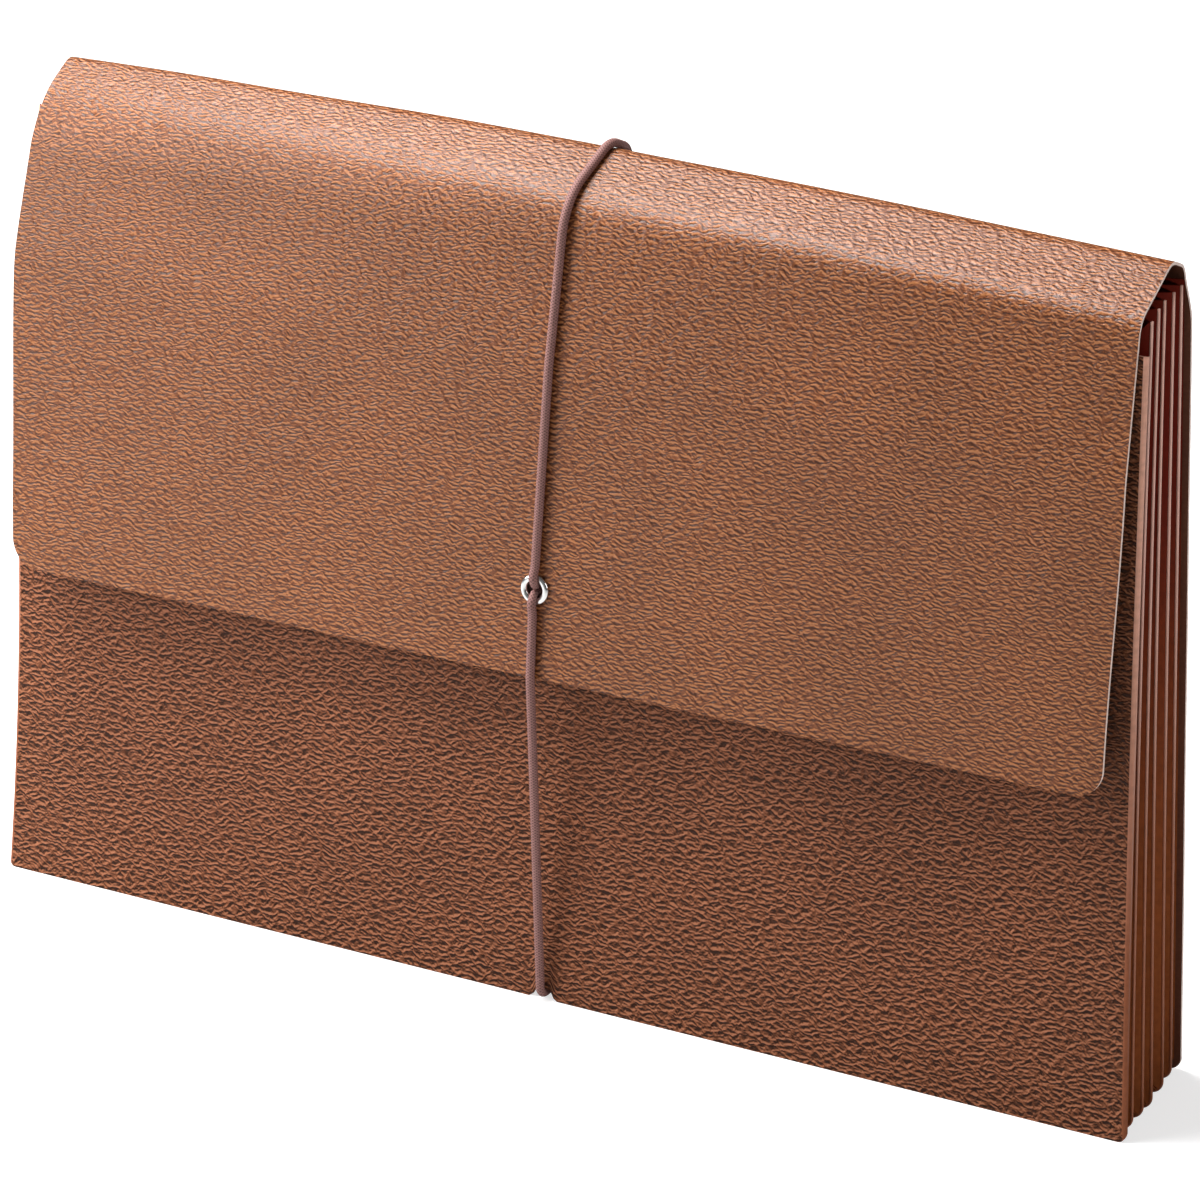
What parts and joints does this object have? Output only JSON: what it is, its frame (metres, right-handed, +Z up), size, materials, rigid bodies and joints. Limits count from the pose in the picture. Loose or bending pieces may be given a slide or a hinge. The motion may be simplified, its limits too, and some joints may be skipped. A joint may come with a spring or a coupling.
{
  "type": "file wallet",
  "caption": "Brown leather-grain expanding file wallet with pleated sides, a fold-over flap and an elastic cord through a metal eyelet",
  "frame": {"origin": "bottom centre of the bounding box", "axes": "+X along the width to the right seen from the front, -Y towards the front, +Z up"},
  "size_m": [0.381, 0.0566, 0.2617],
  "materials": {
    "flap_cover": "fine horizontal leather grain, soft satin sheen",
    "panel_cover": "darker leather grain with deep creases, satin",
    "pleat_paper": "smooth stiff gusset paper, satin",
    "fold_edge": "rubbed lighter fold edges, satin",
    "eyelet_metal": "polished plated metal",
    "cord_braid": "matt braided elastic"
  },
  "bodies": {
    "back_panel": {"back_panel": "panel_cover", "cord_back_upper": "cord_braid"},
    "top_band_rear": {"top_band_rear": "flap_cover", "cord_top_rear": "cord_braid"},
    "top_band_front": {"top_band_front": "flap_cover", "cord_top_front": "cord_braid"},
    "flap_shoulder": {"flap_shoulder": "flap_cover", "cord_shoulder": "cord_braid"},
    "flap_front": {"flap_front": "flap_cover", "eyelet": "eyelet_metal", "eyelet_washer": "eyelet_metal", "cord_flap": "cord_braid", "cord_throat": "cord_braid", "cord_knot": "cord_braid"},
    "front_panel": {"front_panel": "panel_cover"},
    "cord_front": {"cord_front": "cord_braid"},
    "cord_back_lower": {"cord_back_lower": "cord_braid"},
    "cord_bottom": {"cord_bottom": "cord_braid"},
    "pleat_fold_1": {"pleat_fold_1": "fold_edge"},
    "pleat_fold_2": {"pleat_fold_2": "fold_edge"},
    "pleat_fold_3": {"pleat_fold_3": "fold_edge"},
    "pleat_fold_4": {"pleat_fold_4": "fold_edge"},
    "pleat_fold_5": {"pleat_fold_5": "fold_edge"},
    "right_leaf_01": {"right_leaf_01": "pleat_paper"},
    "left_leaf_01": {"left_leaf_01": "pleat_paper"},
    "bottom_leaf_01": {"bottom_leaf_01": "pleat_paper"},
    "right_leaf_02": {"right_leaf_02": "pleat_paper"},
    "left_leaf_02": {"left_leaf_02": "pleat_paper"},
    "bottom_leaf_02": {"bottom_leaf_02": "pleat_paper"},
    "right_leaf_03": {"right_leaf_03": "pleat_paper"},
    "left_leaf_03": {"left_leaf_03": "pleat_paper"},
    "bottom_leaf_03": {"bottom_leaf_03": "pleat_paper"},
    "right_leaf_04": {"right_leaf_04": "pleat_paper"},
    "left_leaf_04": {"left_leaf_04": "pleat_paper"},
    "bottom_leaf_04": {"bottom_leaf_04": "pleat_paper"},
    "right_leaf_05": {"right_leaf_05": "pleat_paper"},
    "left_leaf_05": {"left_leaf_05": "pleat_paper"},
    "bottom_leaf_05": {"bottom_leaf_05": "pleat_paper"},
    "right_leaf_06": {"right_leaf_06": "pleat_paper"},
    "left_leaf_06": {"left_leaf_06": "pleat_paper"},
    "bottom_leaf_06": {"bottom_leaf_06": "pleat_paper"},
    "right_leaf_07": {"right_leaf_07": "pleat_paper"},
    "left_leaf_07": {"left_leaf_07": "pleat_paper"},
    "bottom_leaf_07": {"bottom_leaf_07": "pleat_paper"},
    "right_leaf_08": {"right_leaf_08": "pleat_paper"},
    "left_leaf_08": {"left_leaf_08": "pleat_paper"},
    "bottom_leaf_08": {"bottom_leaf_08": "pleat_paper"},
    "right_leaf_09": {"right_leaf_09": "pleat_paper"},
    "left_leaf_09": {"left_leaf_09": "pleat_paper"},
    "bottom_leaf_09": {"bottom_leaf_09": "pleat_paper"},
    "right_leaf_10": {"right_leaf_10": "pleat_paper"},
    "left_leaf_10": {"left_leaf_10": "pleat_paper"},
    "bottom_leaf_10": {"bottom_leaf_10": "pleat_paper"},
    "right_leaf_11": {"right_leaf_11": "pleat_paper"},
    "left_leaf_11": {"left_leaf_11": "pleat_paper"},
    "bottom_leaf_11": {"bottom_leaf_11": "pleat_paper"},
    "right_leaf_12": {"right_leaf_12": "pleat_paper"},
    "left_leaf_12": {"left_leaf_12": "pleat_paper"},
    "bottom_leaf_12": {"bottom_leaf_12": "pleat_paper"}
  },
  "joints": [
    {"name": "flap_open", "type": "hinge", "parent": "back_panel", "child": "top_band_rear", "pos_m": [0, 0.02473, 0.254], "axis": [-1, 0, 0], "range_deg": [0, 63.34]},
    {"name": "band_bend", "type": "hinge", "parent": "top_band_rear", "child": "top_band_front", "pos_m": [0, 0.01622, 0.2585], "axis": [-1, 0, 0], "range_deg": [0, 51.78]},
    {"name": "shoulder_bend", "type": "hinge", "parent": "top_band_front", "child": "flap_shoulder", "pos_m": [0, -0.0063, 0.249], "axis": [-1, 0, 0], "range_deg": [0, 57.81]},
    {"name": "flap_bend", "type": "hinge", "parent": "flap_shoulder", "child": "flap_front", "pos_m": [0, -0.01479, 0.203], "axis": [-1, 0, 0], "range_deg": [0, 4.64]},
    {"name": "front_swing", "type": "hinge", "parent": "back_panel", "child": "front_panel", "pos_m": [0, 0.02407, 0.70348], "axis": [-1, 0, 0], "range_deg": [0, 4.6]},
    {"name": "fold_swing_1", "type": "hinge", "parent": "back_panel", "child": "pleat_fold_1", "pos_m": [0, 0.02407, 0.70348], "axis": [-1, 0, 0], "range_deg": [0, 0.807]},
    {"name": "fold_swing_2", "type": "hinge", "parent": "back_panel", "child": "pleat_fold_2", "pos_m": [0, 0.02407, 0.70348], "axis": [-1, 0, 0], "range_deg": [0, 1.5]},
    {"name": "fold_swing_3", "type": "hinge", "parent": "back_panel", "child": "pleat_fold_3", "pos_m": [0, 0.02407, 0.70348], "axis": [-1, 0, 0], "range_deg": [0, 2.08]},
    {"name": "fold_swing_4", "type": "hinge", "parent": "back_panel", "child": "pleat_fold_4", "pos_m": [0, 0.02407, 0.70348], "axis": [-1, 0, 0], "range_deg": [0, 2.96]},
    {"name": "fold_swing_5", "type": "hinge", "parent": "back_panel", "child": "pleat_fold_5", "pos_m": [0, 0.02407, 0.70348], "axis": [-1, 0, 0], "range_deg": [0, 3.77]},
    {"name": "right_turn_01", "type": "hinge", "parent": "back_panel", "child": "right_leaf_01", "pos_m": [0.1895, 0.02407, 0.0008], "axis": [0, 0, 1], "range_deg": [0, 31.42]},
    {"name": "left_turn_01", "type": "hinge", "parent": "back_panel", "child": "left_leaf_01", "pos_m": [-0.1895, 0.02407, 0.0008], "axis": [0, 0, -1], "range_deg": [0, 31.42]},
    {"name": "bottom_turn_01", "type": "hinge", "parent": "back_panel", "child": "bottom_leaf_01", "pos_m": [0, 0.02407, 0.0008], "axis": [1, 0, 0], "range_deg": [0, 31.02]},
    {"name": "right_turn_02", "type": "hinge", "parent": "pleat_fold_1", "child": "right_leaf_02", "pos_m": [0.1895, 0.01678, 0.0008], "axis": [0, -0.0104, -0.9999], "range_deg": [0, 31.42]},
    {"name": "left_turn_02", "type": "hinge", "parent": "pleat_fold_1", "child": "left_leaf_02", "pos_m": [-0.1895, 0.01678, 0.0008], "axis": [0, 0.0104, 0.9999], "range_deg": [0, 31.42]},
    {"name": "bottom_turn_02", "type": "hinge", "parent": "pleat_fold_1", "child": "bottom_leaf_02", "pos_m": [0, 0.01678, 0.0008], "axis": [-1, 0, 0], "range_deg": [0, 31.02]},
    {"name": "right_turn_03", "type": "hinge", "parent": "pleat_fold_1", "child": "right_leaf_03", "pos_m": [0.1895, 0.01678, 0.0008], "axis": [0, 0.0104, 0.9999], "range_deg": [0, 27.56]},
    {"name": "left_turn_03", "type": "hinge", "parent": "pleat_fold_1", "child": "left_leaf_03", "pos_m": [-0.1895, 0.01678, 0.0008], "axis": [0, -0.0104, -0.9999], "range_deg": [0, 27.56]},
    {"name": "bottom_turn_03", "type": "hinge", "parent": "pleat_fold_1", "child": "bottom_leaf_03", "pos_m": [0, 0.01678, 0.0008], "axis": [1, 0, 0], "range_deg": [0, 27.22]},
    {"name": "right_turn_04", "type": "hinge", "parent": "pleat_fold_2", "child": "right_leaf_04", "pos_m": [0.1895, 0.00812, 0.0008], "axis": [0, -0.0227, -0.9997], "range_deg": [0, 27.56]},
    {"name": "left_turn_04", "type": "hinge", "parent": "pleat_fold_2", "child": "left_leaf_04", "pos_m": [-0.1895, 0.00812, 0.0008], "axis": [0, 0.0227, 0.9997], "range_deg": [0, 27.56]},
    {"name": "bottom_turn_04", "type": "hinge", "parent": "pleat_fold_2", "child": "bottom_leaf_04", "pos_m": [0, 0.00812, 0.0008], "axis": [-1, 0, 0], "range_deg": [0, 27.22]},
    {"name": "right_turn_05", "type": "hinge", "parent": "pleat_fold_2", "child": "right_leaf_05", "pos_m": [0.1895, 0.00812, 0.0008], "axis": [0, 0.0227, 0.9997], "range_deg": [0, 23.59]},
    {"name": "left_turn_05", "type": "hinge", "parent": "pleat_fold_2", "child": "left_leaf_05", "pos_m": [-0.1895, 0.00812, 0.0008], "axis": [0, -0.0227, -0.9997], "range_deg": [0, 23.59]},
    {"name": "bottom_turn_05", "type": "hinge", "parent": "pleat_fold_2", "child": "bottom_leaf_05", "pos_m": [0, 0.00812, 0.0008], "axis": [1, 0, 0], "range_deg": [0, 23.3]},
    {"name": "right_turn_06", "type": "hinge", "parent": "pleat_fold_3", "child": "right_leaf_06", "pos_m": [0.1895, -0.00192, 0.0008], "axis": [0, -0.037, -0.9993], "range_deg": [0, 23.59]},
    {"name": "left_turn_06", "type": "hinge", "parent": "pleat_fold_3", "child": "left_leaf_06", "pos_m": [-0.1895, -0.00192, 0.0008], "axis": [0, 0.037, 0.9993], "range_deg": [0, 23.59]},
    {"name": "bottom_turn_06", "type": "hinge", "parent": "pleat_fold_3", "child": "bottom_leaf_06", "pos_m": [0, -0.00192, 0.0008], "axis": [-1, 0, 0], "range_deg": [0, 23.3]},
    {"name": "right_turn_07", "type": "hinge", "parent": "pleat_fold_3", "child": "right_leaf_07", "pos_m": [0.1895, -0.00192, 0.0008], "axis": [0, 0.037, 0.9993], "range_deg": [0, 33.95]},
    {"name": "left_turn_07", "type": "hinge", "parent": "pleat_fold_3", "child": "left_leaf_07", "pos_m": [-0.1895, -0.00192, 0.0008], "axis": [0, -0.037, -0.9993], "range_deg": [0, 33.95]},
    {"name": "bottom_turn_07", "type": "hinge", "parent": "pleat_fold_3", "child": "bottom_leaf_07", "pos_m": [0, -0.00192, 0.0008], "axis": [1, 0, 0], "range_deg": [0, 33.51]},
    {"name": "right_turn_08", "type": "hinge", "parent": "pleat_fold_4", "child": "right_leaf_08", "pos_m": [0.1895, -0.00831, 0.0008], "axis": [0, -0.046, -0.9989], "range_deg": [0, 33.95]},
    {"name": "left_turn_08", "type": "hinge", "parent": "pleat_fold_4", "child": "left_leaf_08", "pos_m": [-0.1895, -0.00831, 0.0008], "axis": [0, 0.046, 0.9989], "range_deg": [0, 33.95]},
    {"name": "bottom_turn_08", "type": "hinge", "parent": "pleat_fold_4", "child": "bottom_leaf_08", "pos_m": [0, -0.00831, 0.0008], "axis": [-1, 0, 0], "range_deg": [0, 33.51]},
    {"name": "right_turn_09", "type": "hinge", "parent": "pleat_fold_4", "child": "right_leaf_09", "pos_m": [0.1895, -0.00831, 0.0008], "axis": [0, 0.046, 0.9989], "range_deg": [0, 31.42]},
    {"name": "left_turn_09", "type": "hinge", "parent": "pleat_fold_4", "child": "left_leaf_09", "pos_m": [-0.1895, -0.00831, 0.0008], "axis": [0, -0.046, -0.9989], "range_deg": [0, 31.42]},
    {"name": "bottom_turn_09", "type": "hinge", "parent": "pleat_fold_4", "child": "bottom_leaf_09", "pos_m": [0, -0.00831, 0.0008], "axis": [1, 0, 0], "range_deg": [0, 31.02]},
    {"name": "right_turn_10", "type": "hinge", "parent": "pleat_fold_5", "child": "right_leaf_10", "pos_m": [0.1895, -0.01562, 0.0008], "axis": [0, -0.0564, -0.9984], "range_deg": [0, 31.42]},
    {"name": "left_turn_10", "type": "hinge", "parent": "pleat_fold_5", "child": "left_leaf_10", "pos_m": [-0.1895, -0.01562, 0.0008], "axis": [0, 0.0564, 0.9984], "range_deg": [0, 31.42]},
    {"name": "bottom_turn_10", "type": "hinge", "parent": "pleat_fold_5", "child": "bottom_leaf_10", "pos_m": [0, -0.01562, 0.0008], "axis": [-1, 0, 0], "range_deg": [0, 31.02]},
    {"name": "right_turn_11", "type": "hinge", "parent": "pleat_fold_5", "child": "right_leaf_11", "pos_m": [0.1895, -0.01562, 0.0008], "axis": [0, 0.0564, 0.9984], "range_deg": [0, 35.2]},
    {"name": "left_turn_11", "type": "hinge", "parent": "pleat_fold_5", "child": "left_leaf_11", "pos_m": [-0.1895, -0.01562, 0.0008], "axis": [0, -0.0564, -0.9984], "range_deg": [0, 35.2]},
    {"name": "bottom_turn_11", "type": "hinge", "parent": "pleat_fold_5", "child": "bottom_leaf_11", "pos_m": [0, -0.01562, 0.0008], "axis": [1, 0, 0], "range_deg": [0, 34.74]},
    {"name": "right_turn_12", "type": "hinge", "parent": "front_panel", "child": "right_leaf_12", "pos_m": [0.1895, -0.02157, 0.0008], "axis": [0, -0.0648, -0.9979], "range_deg": [0, 35.2]},
    {"name": "left_turn_12", "type": "hinge", "parent": "front_panel", "child": "left_leaf_12", "pos_m": [-0.1895, -0.02157, 0.0008], "axis": [0, 0.0648, 0.9979], "range_deg": [0, 35.2]},
    {"name": "bottom_turn_12", "type": "hinge", "parent": "front_panel", "child": "bottom_leaf_12", "pos_m": [0, -0.02157, 0.0008], "axis": [-1, 0, 0], "range_deg": [0, 34.74]},
    {"name": "cord_front_turn", "type": "hinge", "parent": "flap_front", "child": "cord_front", "pos_m": [0, -0.02557, 0.13473], "axis": [-1, 0, 0], "range_deg": [0, 183.6]},
    {"name": "cord_back_turn", "type": "hinge", "parent": "back_panel", "child": "cord_back_lower", "pos_m": [0, 0.02842, 0.1106], "axis": [1, 0, 0], "range_deg": [0, 183.6]},
    {"name": "cord_bottom_turn", "type": "hinge", "parent": "cord_back_lower", "child": "cord_bottom", "pos_m": [0, 0.02687, 0.0017], "axis": [1, 0, 0], "range_deg": [0, 77.88]}
  ],
  "couplings": [
    {"joint": "flap_open", "follows": "front_swing", "ratio": 13.507},
    {"joint": "band_bend", "follows": "front_swing", "ratio": 11.041},
    {"joint": "shoulder_bend", "follows": "front_swing", "ratio": 12.326},
    {"joint": "flap_bend", "follows": "front_swing", "ratio": 0.98869},
    {"joint": "fold_swing_1", "follows": "front_swing", "ratio": 0.17203},
    {"joint": "fold_swing_2", "follows": "front_swing", "ratio": 0.31992},
    {"joint": "fold_swing_3", "follows": "front_swing", "ratio": 0.44345},
    {"joint": "fold_swing_4", "follows": "front_swing", "ratio": 0.63158},
    {"joint": "fold_swing_5", "follows": "front_swing", "ratio": 0.80361},
    {"joint": "right_turn_01", "follows": "front_swing", "ratio": 6.7001},
    {"joint": "left_turn_01", "follows": "front_swing", "ratio": 6.7001},
    {"joint": "bottom_turn_01", "follows": "front_swing", "ratio": 6.6142},
    {"joint": "right_turn_02", "follows": "front_swing", "ratio": 6.7001},
    {"joint": "left_turn_02", "follows": "front_swing", "ratio": 6.7001},
    {"joint": "bottom_turn_02", "follows": "front_swing", "ratio": 6.6142},
    {"joint": "right_turn_03", "follows": "front_swing", "ratio": 5.8767},
    {"joint": "left_turn_03", "follows": "front_swing", "ratio": 5.8767},
    {"joint": "bottom_turn_03", "follows": "front_swing", "ratio": 5.803},
    {"joint": "right_turn_04", "follows": "front_swing", "ratio": 5.8767},
    {"joint": "left_turn_04", "follows": "front_swing", "ratio": 5.8767},
    {"joint": "bottom_turn_04", "follows": "front_swing", "ratio": 5.803},
    {"joint": "right_turn_05", "follows": "front_swing", "ratio": 5.0296},
    {"joint": "left_turn_05", "follows": "front_swing", "ratio": 5.0296},
    {"joint": "bottom_turn_05", "follows": "front_swing", "ratio": 4.9678},
    {"joint": "right_turn_06", "follows": "front_swing", "ratio": 5.0296},
    {"joint": "left_turn_06", "follows": "front_swing", "ratio": 5.0296},
    {"joint": "bottom_turn_06", "follows": "front_swing", "ratio": 4.9678},
    {"joint": "right_turn_07", "follows": "front_swing", "ratio": 7.2384},
    {"joint": "left_turn_07", "follows": "front_swing", "ratio": 7.2384},
    {"joint": "bottom_turn_07", "follows": "front_swing", "ratio": 7.1444},
    {"joint": "right_turn_08", "follows": "front_swing", "ratio": 7.2384},
    {"joint": "left_turn_08", "follows": "front_swing", "ratio": 7.2384},
    {"joint": "bottom_turn_08", "follows": "front_swing", "ratio": 7.1444},
    {"joint": "right_turn_09", "follows": "front_swing", "ratio": 6.7001},
    {"joint": "left_turn_09", "follows": "front_swing", "ratio": 6.7001},
    {"joint": "bottom_turn_09", "follows": "front_swing", "ratio": 6.6142},
    {"joint": "right_turn_10", "follows": "front_swing", "ratio": 6.7001},
    {"joint": "left_turn_10", "follows": "front_swing", "ratio": 6.7001},
    {"joint": "bottom_turn_10", "follows": "front_swing", "ratio": 6.6142},
    {"joint": "right_turn_11", "follows": "front_swing", "ratio": 7.505},
    {"joint": "left_turn_11", "follows": "front_swing", "ratio": 7.505},
    {"joint": "bottom_turn_11", "follows": "front_swing", "ratio": 7.4069},
    {"joint": "right_turn_12", "follows": "front_swing", "ratio": 7.505},
    {"joint": "left_turn_12", "follows": "front_swing", "ratio": 7.505},
    {"joint": "bottom_turn_12", "follows": "front_swing", "ratio": 7.4069},
    {"joint": "cord_front_turn", "follows": "front_swing", "ratio": 39.147},
    {"joint": "cord_back_turn", "follows": "front_swing", "ratio": 39.147},
    {"joint": "cord_bottom_turn", "follows": "front_swing", "ratio": 16.605}
  ]
}
